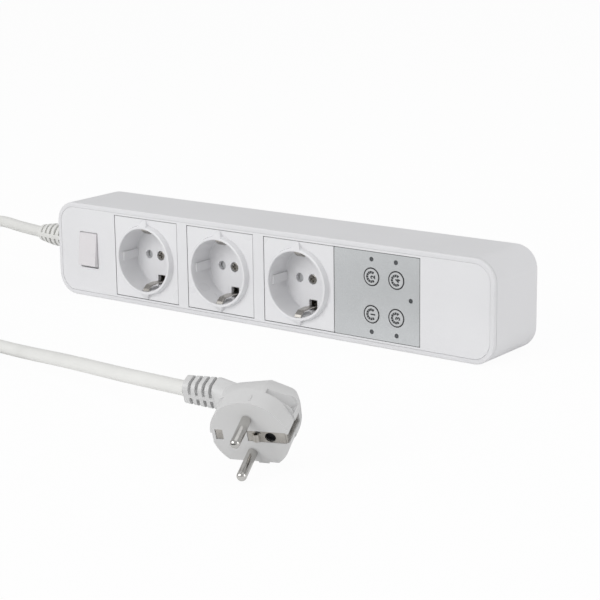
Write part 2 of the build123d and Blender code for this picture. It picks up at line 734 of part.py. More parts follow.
live_core = core_start("live") + [(tail_x + 3.4, 9.0, 31.2), (rocker_x - 1.0, 12.5, rocker_z + 0.3),
                                  (rocker_x, 9.5, rocker_z), (rocker_x, 6.6, rocker_z)]
neutral_core = core_start("neutral") + [(tail_x + 3.0, 2.0, 25.8), (tail_x + 8.0, 13.6, 24.0),
                                        (-128.0, 14.4, 21.2), (-119.0, rail_y + 0.4, 20.5),
                                        (rail_start_x - 0.1, rail_y + 0.4, 20.5)]
earth_core = core_start("earth") + [(tail_x + 3.0, 2.0, 37.2), (tail_x + 8.0, 13.6, 39.0),
                                    (-128.0, 14.4, 42.2), (-119.0, rail_y + 0.4, 43.0),
                                    (rail_start_x - 0.1, rail_y + 0.4, 43.0)]
switched_core = [(rocker_x, 6.6, rocker_z - 7.0), (rocker_x, 9.6, rocker_z - 7.2), (rocker_x + 1.0, 10.2, 15.5),
                 (-124.0, 17.0, 16.0), (40.0, 17.2, 15.8), (48.0, 11.0, 13.0), (52.5, 9.0, terminal_zs[0]),
                 (56.5, 9.0, terminal_zs[0])]
for name, route in (("live_core", live_core), ("neutral_core", neutral_core), ("earth_core", earth_core),
                    ("switched_core", switched_core)):
    save(cord_tube(route, core_diameter, name)[0], name)

socket_wires = []
for k, cx in enumerate(module_xs):
    lane_z = middle_z - 3.0 + 3.0 * k
    terminal_z = terminal_zs[2 + k]
    route = [(cx + 9.5, 16.0, middle_z + 2.5), (cx + 9.5, 18.4, middle_z + 2.5), (cx + 13.0, 20.3, lane_z + 0.1),
             (46.0, 20.1, lane_z), (52.2, 13.4, (lane_z + terminal_z) / 2), (54.0, 9.0, terminal_z),
             (56.5, 9.0, terminal_z)]
    socket_wires.append(cord_tube(route, core_diameter, f"socket_wire_{k + 1}")[0])
save(Compound(children=socket_wires), "socket_wires")

rail_links = []
for rail_z, terminal_z in ((20.5, terminal_zs[1]), (43.0, terminal_zs[5])):
    route = [(rail_end_x + 0.1, rail_y + 0.4, rail_z), (rail_end_x + 3.5, rail_y + 0.3, rail_z),
             (52.8, 9.0, terminal_z), (56.5, 9.1, terminal_z)]
    rail_links.append(cord_tube(route, core_diameter, "rail_link")[0])
save(Compound(children=rail_links), "rail_links")

# ---- Plug ------------------------------------------------------------------------------------------------
yaw, pitch, roll = (radians(angle) for angle in (plug_yaw, plug_pitch, plug_roll))
pin_way = Vector(sin(yaw) * cos(pitch), -cos(yaw) * cos(pitch), -sin(pitch))
upright = Vector(sin(yaw) * sin(pitch), -cos(yaw) * sin(pitch), cos(pitch))
plug_up = upright * cos(roll) + upright.cross(pin_way) * sin(roll)
cord_way = pin_way.cross(plug_up)
plug_origin = Vector(*plug_centre)
plug_face = Plane(origin=plug_origin, x_dir=-cord_way, z_dir=pin_way)
neck_way = cord_way * cos(radians(neck_tilt)) - pin_way * sin(radians(neck_tilt))
neck_root = plug_origin + cord_way * neck_reach + plug_up * neck_rise - pin_way * neck_behind
neck_tip = neck_root + neck_way * neck_length
neck_plane = Plane(origin=neck_root, x_dir=plug_up, z_dir=neck_way)
neck_start = plug_origin + cord_way * 8.0 + plug_up - pin_way * 18.0
neck_inside = Plane(origin=neck_start, x_dir=plug_up, z_dir=neck_way)
pin_root_radius = 2.0       # each pin is thinner where it sits in the body, up to just above the face
pin_step = 0.3
pin_spots = ((0, pin_spacing / 2), (0, -pin_spacing / 2))
earth_hole = (10.0, 0.0)
grip_corners = ((-16.0, 13.0), (4.5, 17.2), (18.4, 10.2), (19.2, 3.0),
                (18.8, -6.0), (11.5, -14.8), (-10.0, -14.8), (-17.5, -6.0))
grip_sections = ((10.0, 1.0, 1.0), (17.0, 1.0, 0.97), (23.0, 0.94, 0.82), (30.5, 0.62, 0.52))

with BuildPart() as plug_body:
    # eight-cornered grip that shrinks to the back, then the round nose with its flat, then the neck
    for depth, width_share, height_share in grip_sections:
        with BuildSketch(plug_face.offset(-depth)) as section:
            with BuildLine():
                Polyline(*[(x * width_share, y * height_share) for x, y in grip_corners], close=True)
            make_face()
            fillet(section.vertices(), 3.2 * height_share)
    loft()
    with BuildSketch(plug_face):
        Circle(plug_radius)
        with Locations((0, plug_radius - plug_foot)):
            Rectangle(2 * plug_radius, 2 * plug_radius, mode=Mode.INTERSECT)
    extrude(amount=-11.0)
    with BuildSketch(neck_inside):
        RectangleRounded(20.5, 15.0, 6.0)
    with BuildSketch(neck_plane):
        RectangleRounded(14.0, 12.0, 4.0)
    loft()
    # lug under the face
    with BuildSketch(plug_face.offset(-3.0)):
        with Locations((4.4, -plug_foot - 0.2)):
            Rectangle(5.0, 1.8)
    extrude(amount=2.6)
    # finger recess round the upper right of the grip
    recess_start = radians(18)
    recess_way = -cord_way * cos(recess_start) + plug_up * sin(recess_start)
    with BuildSketch(Plane(origin=plug_origin, x_dir=recess_way, z_dir=recess_way.cross(pin_way))):
        with BuildLine():
            Polyline((13.8, -10.3), (13.8, -11.5), (19.4, -17.5), (22.5, -19.0), (22.5, -10.3), close=True)
        make_face()
    revolve(axis=Axis(plug_centre, tuple(pin_way)), revolution_arc=50, mode=Mode.SUBTRACT)
    # pocket of the earth contact across the right of the face, and its groove down that side
    with BuildSketch(plug_face):
        with Locations((8.2, 0)):
            Rectangle(18.6, 6.2)
    extrude(amount=-0.9, mode=Mode.SUBTRACT)
    with BuildSketch(plug_face):
        with Locations((plug_radius - 0.4, 0)):
            Rectangle(2.6, 5.2)
    extrude(amount=-16.0, mode=Mode.SUBTRACT)
    # pocket of the contact on the lead's side, the guide groove beside it, and the pins' holes
    with BuildSketch(plug_face):
        with Locations((-14.8, -0.4)):
            Rectangle(3.8, 5.8)
        with Locations((-plug_radius, -2.2)):
            Rectangle(1.6, 5.0)
        with Locations((4.3, 2.4)):
            Rectangle(2.6, 1.2)
    extrude(amount=-4.0, mode=Mode.SUBTRACT)
    with BuildSketch(plug_face):
        with Locations(earth_hole):
            Circle(2.7)
        with Locations(*pin_spots):
            Circle(pin_root_radius)
    extrude(amount=-10.0, mode=Mode.SUBTRACT)
save(plug_body.part, "plug_body")

with BuildPart() as plug_pins:
    with BuildSketch(plug_face.offset(-10.0)):
        with Locations(*pin_spots):
            Circle(pin_root_radius)
    extrude(amount=10.0 + pin_step)
    with BuildSketch(plug_face.offset(pin_step)):
        with Locations(*pin_spots):
            Circle(pin_radius)
    extrude(amount=pin_length - pin_step)
    pin_ends = [face for face in plug_pins.faces().filter_by(GeomType.PLANE)
                if (face.center() - plug_origin).dot(pin_way) > pin_length - 1]
    fillet([edge for face in pin_ends for edge in face.edges()], 2.1)
save(plug_pins.part, "plug_pins")

with BuildPart() as plug_earth_contact:
    with BuildSketch(plug_face.offset(-0.85)):
        with Locations((8.2, 0)):
            Rectangle(18.2, 5.9)
        with Locations(earth_hole):
            Circle(2.6, mode=Mode.SUBTRACT)
        with Locations((4.3, 2.4)):
            Rectangle(2.6, 1.2, mode=Mode.SUBTRACT)
    extrude(amount=0.7)
    with BuildSketch(plug_face.offset(-0.15)):
        with Locations((plug_radius - 1.2, 0)):
            Rectangle(0.8, 5.0)
    extrude(amount=-15.6)
    # the curled tab that grips the earth pin's side
    with BuildSketch(Plane(origin=plug_origin - cord_way * 3.0 - plug_up * 2.6 - pin_way * 0.5,
                           x_dir=-cord_way, z_dir=plug_up)):
        Circle(1.7)
        Circle(1.1, mode=Mode.SUBTRACT)
        with Locations((0, -1.0)):
            Rectangle(4.0, 2.0, mode=Mode.INTERSECT)
    extrude(amount=4.0)
    with BuildSketch(plug_face.offset(-2.0)):
        with Locations((-14.8, -0.4)):
            Rectangle(3.6, 5.6)
    extrude(amount=1.5)
save(plug_earth_contact.part, "plug_earth_contact")

with BuildPart() as plug_relief:
    with BuildSketch(neck_plane):
        RectangleRounded(14.0, 11.4, 3.5)
    with BuildSketch(neck_plane.offset(neck_length)):
        RectangleRounded(12.6, 10.0, 3.5)
    loft()
    # four ribs left between slots that are cut from both sides round a core
    for k in range(4):
        with BuildSketch(neck_plane.offset(1.2 + 3.7 * k)):
            Rectangle(20.0, 20.0)
            Circle(4.4, mode=Mode.SUBTRACT)
            Rectangle(1.9, 20.0, mode=Mode.SUBTRACT)
        extrude(amount=1.7, mode=Mode.SUBTRACT)
save(plug_relief.part, "plug_relief")

# ---- Lead ------------------------------------------------------------------------------------------------
# Hand-chosen points: out of the gland, down on to the floor and into the coil.
lead_from_strip = [gland_tip, (-217.0, -2.0, 33.0), (-239.0, 2.6, 34.2), (-262.5, 6.0, 31.4),
                   (-284.0, 0.5, 24.0), (-299.0, -16.0, 15.0), (-304.0, -39.0, 8.4), (-302.0, -61.0, 5.3),
                   (-298.7, -82.0, 4.5)]
# Out of the top of the coil, down to the floor, along it, and up into the plug.
lead_to_plug = [(-253.2, -123.7, 11.9), (-228.0, -124.5, 9.4), (-198.0, -130.0, 4.8), (-160.0, -141.0, 3.9),
                (-122.0, -149.0, 3.9), (-84.8, -154.2, 4.9), (-44.5, -169.8, 10.3), (-4.0, -187.3, 17.2),
                (30.3, -200.8, 22.0), (60.5, -211.1, 25.4), (89.9, -222.0, 29.5), tuple(neck_tip)]

tube, strip_side_length = cord_tube(lead_from_strip, cord_diameter, "lead_strip_side")
save(tube, "lead_strip_side")
tube, plug_side_length = cord_tube(lead_to_plug, cord_diameter, "lead_plug_side")
save(tube, "lead_plug_side")
print("neck tip", tuple(round(value, 2) for value in neck_tip))
print("the coil holds", round(lead_length - strip_side_length - plug_side_length), "mm of the lead")

coil_section = 2 * cord_diameter + 0.2
tie_thickness = 0.6
coil_floor = Plane(origin=(*coil_middle, 0), x_dir=(1, 0, 0), z_dir=(0, -1, 0))
coil_heart = (coil_mean_radius, tie_thickness + coil_section / 2)
with BuildPart() as lead_coil:
    with BuildSketch(coil_floor):
        with Locations(coil_heart):
            RectangleRounded(coil_section, coil_section, 3.4)
    revolve(axis=Axis((*coil_middle, 0), (0, 0, 1)))
save(lead_coil.part, "lead_coil")

with BuildPart() as coil_tie:
    tie_plane = Plane(origin=(coil_middle[0], coil_middle[1] + 4.0, 0), x_dir=(1, 0, 0), z_dir=(0, -1, 0))
    with BuildSketch(tie_plane):
        with Locations(coil_heart):
            RectangleRounded(coil_section + 2 * tie_thickness, coil_section + 2 * tie_thickness, 3.4)
            RectangleRounded(coil_section + 0.6, coil_section, 2.8, mode=Mode.SUBTRACT)
    extrude(amount=8.0)
save(coil_tie.part, "coil_tie")
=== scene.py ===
"""Desk power strip: finishes, button marks, mains lead, plug details and studio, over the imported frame."""

import json
from math import cos, pi, radians, sin

import bpy
import bmesh
from mathutils import Matrix, Vector


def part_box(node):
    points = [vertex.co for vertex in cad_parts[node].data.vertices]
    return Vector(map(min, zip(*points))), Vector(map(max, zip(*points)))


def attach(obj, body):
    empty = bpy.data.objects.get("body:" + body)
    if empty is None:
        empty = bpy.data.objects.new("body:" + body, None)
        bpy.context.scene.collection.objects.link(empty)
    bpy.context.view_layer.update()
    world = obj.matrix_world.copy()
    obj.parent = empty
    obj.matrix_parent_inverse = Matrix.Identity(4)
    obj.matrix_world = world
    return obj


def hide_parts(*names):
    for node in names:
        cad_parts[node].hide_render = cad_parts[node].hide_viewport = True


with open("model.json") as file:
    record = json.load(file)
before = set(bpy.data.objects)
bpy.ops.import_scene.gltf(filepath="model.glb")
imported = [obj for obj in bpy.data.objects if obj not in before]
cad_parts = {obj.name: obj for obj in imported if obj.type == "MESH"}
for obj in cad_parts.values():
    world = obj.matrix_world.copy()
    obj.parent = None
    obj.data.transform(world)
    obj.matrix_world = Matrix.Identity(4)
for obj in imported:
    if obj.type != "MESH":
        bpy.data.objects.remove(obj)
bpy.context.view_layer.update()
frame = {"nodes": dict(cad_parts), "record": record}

bl_info = {
    "name": "Desk power strip",
    "version": (1, 0, 0),
    "blender": (4, 5, 0),
    "location": "View3D > Sidebar > Power strip",
    "description": "Finishes, button marks, mains lead and studio for a desk power strip",
    "category": "Object",
}

MM = 0.001
nodes = frame["nodes"]

# The lead's route: out of the gland and down to the coil, then out of the coil and up to the plug.
ROUTE_TO_COIL = [(-196.0, -2.25, 31.8), (-217.0, -2.0, 33.0), (-239.0, 2.6, 34.2), (-262.5, 6.0, 31.4),
                 (-284.0, 0.5, 24.0), (-299.0, -16.0, 15.0), (-304.0, -39.0, 8.4), (-302.0, -61.0, 5.3)]
ROUTE_TO_PLUG = [(-228.0, -124.5, 9.4), (-198.0, -130.0, 4.8), (-160.0, -141.0, 3.9),
                 (-122.0, -149.0, 3.9), (-84.8, -154.2, 4.9), (-44.5, -169.8, 10.3), (-4.0, -187.3, 17.2),
                 (30.3, -200.8, 22.0), (60.5, -211.1, 25.4), (89.9, -222.0, 29.5), (117.51, -226.45, 31.02)]
COIL_MIDDLE = (-253.2, -78.0)
COIL_LANES = ((45.7, 4.4), (38.3, 4.4), (38.3, 11.8), (45.7, 11.8))
COIL_START, COIL_END = 184.0, 270.0
COIL_TURN_POINTS = 16
LANE_CHANGE = 0.2

# The modules' middles along the strip, and the panel's middle and width.
MODULE_XS = (-88.2, -29.0, 30.2)
PANEL_X, PANEL_WIDTH = 85.3, 58.4

# The plug: the middle between its pins at the face, then its yaw, pitch and roll.
PLUG_MIDDLE = (161.3, -235.4, 18.2)
PLUG_YAW, PLUG_PITCH, PLUG_ROLL = radians(19.1), radians(21.9), radians(-0.9)

# Millimetres: the button cap's radius, and what is cut and filled beside the modules; the black strips in the gaps
# there are painted shade.
CAP_RADIUS = 4.8
DIGIT_SHIFT, DIGIT_BOLDNESS = 1.3, 0.2
DIGIT_HEIGHT_SHARE = 0.72
GAP_REACH, SHADE_STRIP_WIDTH, SHADE_STRIP_THICKNESS = 0.33, 0.32, 0.4


# ---- Sizes and colours a user would change ------------------------------------------------------------------
class StripSizes(bpy.types.PropertyGroup):
    """Sizes of the pieces that are added over the frame."""

    lead_diameter: bpy.props.FloatProperty(
        name="Lead diameter", description="Outside of the lead's sheath", default=7.4 * MM, unit="LENGTH")
    lead_length: bpy.props.FloatProperty(
        name="Lead length", description="From the gland to the plug", default=1.4, unit="LENGTH")
    arc_outer: bpy.props.FloatProperty(
        name="Arc radius", description="Outside of the power sign on a button", default=3.45 * MM, unit="LENGTH")
    arc_inner: bpy.props.FloatProperty(
        name="Arc inner radius", description="Inside of the power sign", default=2.0 * MM, unit="LENGTH")
    arc_opening: bpy.props.FloatProperty(
        name="Arc opening", description="Angle left open for the digit", default=radians(96), subtype="ANGLE")
    digit_height: bpy.props.FloatProperty(
        name="Digit height", description="Height of the digit on a button", default=3.0 * MM, unit="LENGTH")
    mark_thickness: bpy.props.FloatProperty(
        name="Mark thickness", description="Ink thickness of signs and digits", default=0.03 * MM, unit="LENGTH")


def colour(name, description, default):
    """Colour property with the usual subtype and range."""
    return bpy.props.FloatVectorProperty(
        name=name, description=description, default=default, subtype="COLOR", size=3, min=0.0, max=1.0)


class StripColours(bpy.types.PropertyGroup):
    """Colours of the visible finishes, in linear light."""

    shell: colour("Shell", "Housing and frame", (0.76, 0.76, 0.775))
    face: colour("Face", "Fascia and sockets", (0.79, 0.79, 0.805))
    rocker: colour("Rocker", "Switch rocker, slightly warm", (0.745, 0.725, 0.74))
    panel: colour("Panel", "Lacquered button panel", (0.575, 0.59, 0.60))
    key: colour("Button", "Button caps", (0.56, 0.57, 0.58))
    ink: colour("Ink", "Signs and digits", (0.03, 0.032, 0.035))
    lead: colour("Lead", "Sheath of the lead", (0.78, 0.78, 0.76))
    plug: colour("Plug", "Plug body", (0.66, 0.66, 0.66))


# ---- Shader helpers -----------------------------------------------------------------------------------------
class Signal:
    """A shader socket that can be used in sums."""

    def __init__(self, finish, socket):
        self.finish, self.socket = finish, socket

    def _sum(self, operation, left, right):
        return self.finish.add("ShaderNodeMath", {"operation": operation}, {0: left, 1: right})

    def __add__(self, other):
        return self._sum("ADD", self, other)

    def __mul__(self, other):
        return self._sum("MULTIPLY", self, other)

    __radd__, __rmul__ = __add__, __mul__


class Finish:
    """One material, built node by node."""

    def __init__(self, name):
        self.material = bpy.data.materials.new(name)
        self.material.use_nodes = True
        self.tree = self.material.node_tree
        self.tree.nodes.clear()
        self.place = self.add("ShaderNodeTexCoord", output="Object")

    def add(self, kind, settings=None, inputs=None, output=0):
        """A node of that kind: its settings first, then its sockets' values or links. Returns one output."""
        node = self.tree.nodes.new(kind)
        for name, value in (settings or {}).items():
            if name == "stops":
                ramp = node.color_ramp
                while len(ramp.elements) < len(value):
                    ramp.elements.new(0.5)
                for element, (position, level) in zip(ramp.elements, value):
                    element.position, element.color = position, (level, level, level, 1)
            else:
                setattr(node, name, value)
        for name, value in (inputs or {}).items():
            if isinstance(value, Signal):
                self.tree.links.new(value.socket, node.inputs[name])
            elif value is not None:
                node.inputs[name].default_value = value
        return Signal(self, node.outputs[output])

    def noise(self, scale, detail=3.0, stretch=(1, 1, 1)):
        """Grey noise in the piece's own frame, from about 0.2 to 0.8."""
        vector = self.place
        if stretch != (1, 1, 1):
            vector = self.add("ShaderNodeMapping", inputs={"Vector": vector, "Scale": stretch})
        return self.add("ShaderNodeTexNoise", inputs={"Vector": vector, "Scale": scale, "Detail": detail})

    def band(self, signal, low, high):
        """The signal stretched so that low is 0 and high is 1."""
        return self.add("ShaderNodeMapRange", inputs={"Value": signal, "From Min": low, "From Max": high})

    def blend(self, factor, first, second):
        """Mix of two colours."""
        return self.add("ShaderNodeMix", {"data_type": "RGBA"},
                        {"Factor": factor, 6: (*first, 1), 7: (*second, 1)}, output=2)

    def bump(self, height, distance, strength=1.0):
        """Normal from a height, in metres of relief."""
        return self.add("ShaderNodeBump", inputs={"Height": height, "Distance": distance, "Strength": strength},
                        output="Normal")

    def surface(self, **values):
        """The Principled surface and the output."""
        inputs = {name.replace("_", " "): value for name, value in values.items()}
        shader = self.add("ShaderNodeBsdfPrincipled", inputs=inputs)
        return self.output(shader)

    def output(self, shader):
        """The shader to the material's output."""
        out = self.tree.nodes.new("ShaderNodeOutputMaterial")
        self.tree.links.new(shader.socket, out.inputs["Surface"])
        return self.material


def moulded(name, base, roughness=0.42, grain=900.0, relief=0.012, coat=0.0):
    """Moulded plastic: fine spark-eroded grain, faint clouding of the colour and of the gloss."""
    finish = Finish(name)
    fine = finish.noise(grain * 2.2, 2.0)
    cloud = finish.noise(22.0, 3.0)
    tint = finish.band(cloud * 0.7 + fine * 0.3, 0.3, 0.7)
    darker = tuple(channel * 0.965 for channel in base)
    gloss = finish.band(cloud, 0.3, 0.7) * 0.07 + (roughness - 0.035)
    return finish.surface(Base_Color=finish.blend(tint, darker, base), Roughness=gloss,
                          Normal=finish.bump(fine, relief * MM), Coat_Weight=coat, Coat_Roughness=0.25)


def lacquered(name, base):
    """Silver lacquer: fine flakes, lighter and darker."""
    finish = Finish(name)
    flake = finish.add("ShaderNodeTexVoronoi", inputs={"Vector": finish.place, "Scale": 3200.0}, output="Distance")
    speckle = finish.noise(2600.0, 2.0)
    cloud = finish.noise(30.0, 2.0)
    tint = finish.band(speckle * 0.55 + flake * 0.35 + cloud * 0.3, 0.35, 0.8)
    darker = tuple(channel * 0.86 for channel in base)
    lighter = tuple(min(channel * 1.12, 1.0) for channel in base)
    return finish.surface(Base_Color=finish.blend(tint, darker, lighter), Metallic=0.35,
                          Roughness=finish.band(speckle, 0.2, 0.8) * 0.12 + 0.38,
                          Normal=finish.bump(speckle, 0.008 * MM))


def metal(name, base, roughness=0.26, stretch=(1, 1, 1)):
    """Plated sheet metal with fine drawn lines and a little wear."""
    finish = Finish(name)
    lines = finish.noise(1400.0, 2.0, stretch)
    wear = finish.noise(160.0, 4.0)
    darker = tuple(channel * 0.8 for channel in base)
    return finish.surface(Base_Color=finish.blend(finish.band(wear, 0.35, 0.65), darker, base), Metallic=1.0,
                          Roughness=finish.band(lines * 0.6 + wear * 0.4, 0.25, 0.75) * 0.16 + (roughness - 0.08),
                          Normal=finish.bump(lines, 0.006 * MM))


def circuit_board(name, base):
    """Solder mask with slightly raised tracks."""
    finish = Finish(name)
    tracks = finish.add("ShaderNodeTexBrick", {"offset": 0.5},
                        {"Vector": finish.place, "Scale": 160.0, "Mortar Size": 0.06}, output="Fac")
    cloud = finish.noise(300.0, 3.0)
    lighter = tuple(channel * 1.5 for channel in base)
    return finish.surface(Base_Color=finish.blend(tracks * 0.7 + cloud * 0.3, base, lighter),
                          Roughness=finish.band(cloud, 0.3, 0.7) * 0.1 + 0.3,
                          Normal=finish.bump(tracks, 0.03 * MM))


def sheath(name, base):
    """Soft lead sheath: matt, with faint clouding and a fine skin."""
    finish = Finish(name)
    skin = finish.noise(1800.0, 2.0)
    cloud = finish.noise(45.0, 3.0)
    darker = tuple(channel * 0.94 for channel in base)
    return finish.surface(Base_Color=finish.blend(finish.band(cloud * 0.8 + skin * 0.2, 0.3, 0.7), darker, base),
                          Roughness=finish.band(cloud, 0.3, 0.7) * 0.08 + 0.46,
                          Normal=finish.bump(skin, 0.01 * MM))


def studio_floor(name):
    """Pale floor that the camera sees nearly white, with the object's shadow kept."""
    finish = Finish(name)
    soft = finish.noise(3.0, 2.0)
    matt = finish.add("ShaderNodeBsdfPrincipled", inputs={
        "Base Color": finish.blend(soft, (0.86, 0.86, 0.86), (0.88, 0.88, 0.88)), "Roughness": 0.9})
    glow = finish.add("ShaderNodeEmission", inputs={"Color": (1, 1, 1, 1), "Strength": 1.0})
    seen = finish.add("ShaderNodeLightPath", output="Is Camera Ray")
    mirrored = finish.add("ShaderNodeLightPath", output="Is Glossy Ray")
    mixed = finish.add("ShaderNodeMixShader", inputs={0: seen * 0.95 + mirrored * 0.5, 1: matt, 2: glow})
    return finish.output(mixed)


def finishes(colours):
    """Every finish by the record's slot name."""
    shell, face, plug = (tuple(value) for value in (colours.shell, colours.face, colours.plug))
    return {
        "shell_white": moulded("shell white", shell, 0.44, 700.0, 0.010),
        "face_white": moulded("face white", face, 0.40, 900.0, 0.008),
        "socket_white": moulded("socket white", tuple(1.02 * channel for channel in face), 0.30, 900.0, 0.004),
        "rocker_white": moulded("rocker white", tuple(colours.rocker), 0.28, 900.0, 0.004),
        "panel_grey": lacquered("panel grey", tuple(colours.panel)),
        "button_white": moulded("button white", tuple(colours.key), 0.30, 900.0, 0.004),
        "carrier_cream": moulded("carrier cream", (0.70, 0.66, 0.55), 0.5),
        "shutter_grey": moulded("shutter grey", (0.55, 0.56, 0.57), 0.45),
        "contact_brass": metal("contact brass", (0.78, 0.60, 0.30)),
        "earth_nickel": metal("earth nickel", (0.50, 0.48, 0.45), 0.3, (0.2, 0.2, 1.0)),
        "screw_zinc": metal("screw zinc", (0.42, 0.40, 0.37), 0.3),
        "pin_nickel": metal("pin nickel", (0.62, 0.61, 0.59), 0.17, (1.0, 0.15, 0.4)),
        "black_plastic": moulded("black plastic", (0.02, 0.02, 0.022), 0.5),
        "board_green": circuit_board("board green", (0.03, 0.14, 0.06)),
        "relay_blue": moulded("relay blue", (0.05, 0.13, 0.36), 0.3),
        "transformer_yellow": moulded("transformer yellow", (0.68, 0.52, 0.10), 0.45),
        "capacitor_black": moulded("capacitor black", (0.03, 0.03, 0.045), 0.3),
        "terminal_green": moulded("terminal green", (0.08, 0.30, 0.12), 0.4),
        "lens_grey": moulded("lens grey", (0.075, 0.08, 0.085), 0.22, 900.0, 0.002),
        "lead_white": sheath("lead white", tuple(colours.lead)),
        "core_brown": sheath("core brown", (0.16, 0.07, 0.03)),
        "core_blue": sheath("core blue", (0.04, 0.12, 0.45)),
        "core_yellow_green": sheath("core yellow and green", (0.45, 0.55, 0.05)),
        "plug_white": moulded("plug white", plug, 0.42, 600.0, 0.010),
        "tie_black": moulded("tie black", (0.03, 0.03, 0.03), 0.6),
        "ink": moulded("ink", tuple(colours.ink), 0.45),
    }


# ---- Modelling helpers --------------------------------------------------------------------------------------
def clear_selection():
    """Nothing selected and nothing active, so that an operator acts only on what is added next."""
    bpy.ops.object.select_all(action="DESELECT")
    bpy.context.view_layer.objects.active = None


def finished(piece, name, finish, body):
    """Name a piece, place it into its mesh, give it its finish and let it ride on a body."""
    piece.name = piece.data.name = name
    bpy.ops.object.select_all(action="DESELECT")
    piece.select_set(True)
    bpy.context.view_layer.objects.active = piece
    bpy.ops.object.transform_apply(location=True, rotation=True, scale=True)
    piece.data.materials.clear()
    piece.data.materials.append(finish)
    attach(piece, body)
    return piece


def finish_named(name):
    """A finish made earlier by the finishes operator."""
    return bpy.data.materials[name]


def facing_out(x, y, z, turned=False):
    """Placement on the socket face: local z looks out along -Y. Turned marks have their top towards -X."""
    axes = ((0, 0, 1), (-1, 0, 0), (0, -1, 0)) if turned else ((1, 0, 0), (0, 0, 1), (0, -1, 0))
    turn = Matrix([Vector(axis) for axis in axes]).transposed().to_4x4()
    return Matrix.Translation((x, y, z)) @ turn


def facing_plug(right, up, behind):
    """Placement on the plug's face, in millimetres: local x to the right, local y up, local z out of the face."""
    out = Vector((sin(PLUG_YAW) * cos(PLUG_PITCH), -cos(PLUG_YAW) * cos(PLUG_PITCH), -sin(PLUG_PITCH)))
    upright = Vector((sin(PLUG_YAW) * sin(PLUG_PITCH), -cos(PLUG_YAW) * sin(PLUG_PITCH), cos(PLUG_PITCH)))
    top = upright * cos(PLUG_ROLL) + upright.cross(out) * sin(PLUG_ROLL)
    side = top.cross(out)
    place = (Vector(PLUG_MIDDLE) + side * right + top * up - out * behind) * MM
    return Matrix.Translation(place) @ Matrix((side, top, out)).transposed().to_4x4()


def flat_ring(outer, inner, sides=72):
    """Flat ring made from a circle by extruding its edge inwards, lying in the XY plane and in edit mode."""
    clear_selection()
    bpy.ops.mesh.primitive_circle_add(vertices=sides, radius=outer, fill_type="NOTHING")
    bpy.ops.object.mode_set(mode="EDIT")
    bpy.ops.mesh.select_all(action="SELECT")
    bpy.ops.mesh.extrude_edges_move()
    ratio = inner / outer
    bpy.ops.transform.resize(value=(ratio, ratio, 1.0), center_override=(0, 0, 0))
    bpy.ops.mesh.select_all(action="SELECT")
    bpy.ops.mesh.normals_make_consistent(inside=False)
    return bpy.context.object


def thicken(piece, thickness):
    """Give a flat piece a thickness on both sides of its plane."""
    solid = piece.modifiers.new("thickness", "SOLIDIFY")
    solid.thickness, solid.offset = thickness, 0.0
    bpy.context.view_layer.objects.active = piece
    bpy.ops.object.modifier_apply(modifier=solid.name)


def key_middle(number):
    """Middle of a button's front face."""
    low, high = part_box(f"button_{number}")
    return (low[0] + high[0]) / 2, low[1], (low[2] + high[2]) / 2


# ---- Operators ----------------------------------------------------------------------------------------------
class STRIP_OT_finishes(bpy.types.Operator):
    """Give every frame node its finish."""

    bl_idname = "strip.finishes"
    bl_label = "Finishes"

    def execute(self, context):
        made = finishes(context.scene.strip_colours)
        slots = {entry["node"]: entry["material_slot"] for entry in frame["record"]["subparts"]}
        for name, node in nodes.items():
            for holder in node.material_slots:
                holder.material = made[slots[name]]
        return {"FINISHED"}


class STRIP_OT_lead(bpy.types.Operator):
    """Mains lead on one smooth curve: gland, put-away coil and plug."""

    bl_idname = "strip.lead"
    bl_label = "Lead"

    def execute(self, context):
        sizes = context.scene.strip_sizes
        coil = []
        last = round((3 + (COIL_END - COIL_START) / 360) * COIL_TURN_POINTS)
        for k in range(last + 1):
            turns = k / COIL_TURN_POINTS
            lane = min(int(turns), 3)
            into = max(turns - lane - 1 + LANE_CHANGE, 0.0) / LANE_CHANGE if lane < 3 else 0.0
            (r0, z0), (r1, z1) = COIL_LANES[lane], COIL_LANES[min(lane + 1, 3)]
            radius, height = r0 + (r1 - r0) * into, z0 + (z1 - z0) * into
            angle = radians(COIL_START + 360 * turns)
            coil.append((COIL_MIDDLE[0] + radius * cos(angle), COIL_MIDDLE[1] + radius * sin(angle), height))
        points = ROUTE_TO_COIL + coil + ROUTE_TO_PLUG
        curve = bpy.data.curves.new("lead", "CURVE")
        curve.dimensions = "3D"
        line = curve.splines.new("NURBS")
        line.points.add(len(points) - 1)
        for point, place in zip(line.points, points):
            point.co = (*(value * MM for value in place), 1.0)
        line.order_u = 3
        line.use_endpoint_u = True
        line.resolution_u = 8
        curve.bevel_depth = sizes.lead_diameter / 2
        curve.bevel_resolution = 6
        curve.use_fill_caps = True
        curve.materials.append(finish_named("lead white"))
        lead = bpy.data.objects.new("lead", curve)
        context.scene.collection.objects.link(lead)
        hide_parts("lead_strip_side", "lead_coil", "lead_plug_side")
        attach(lead, "strip")
        [value * MM for value in points[0]]
        return {"FINISHED"}


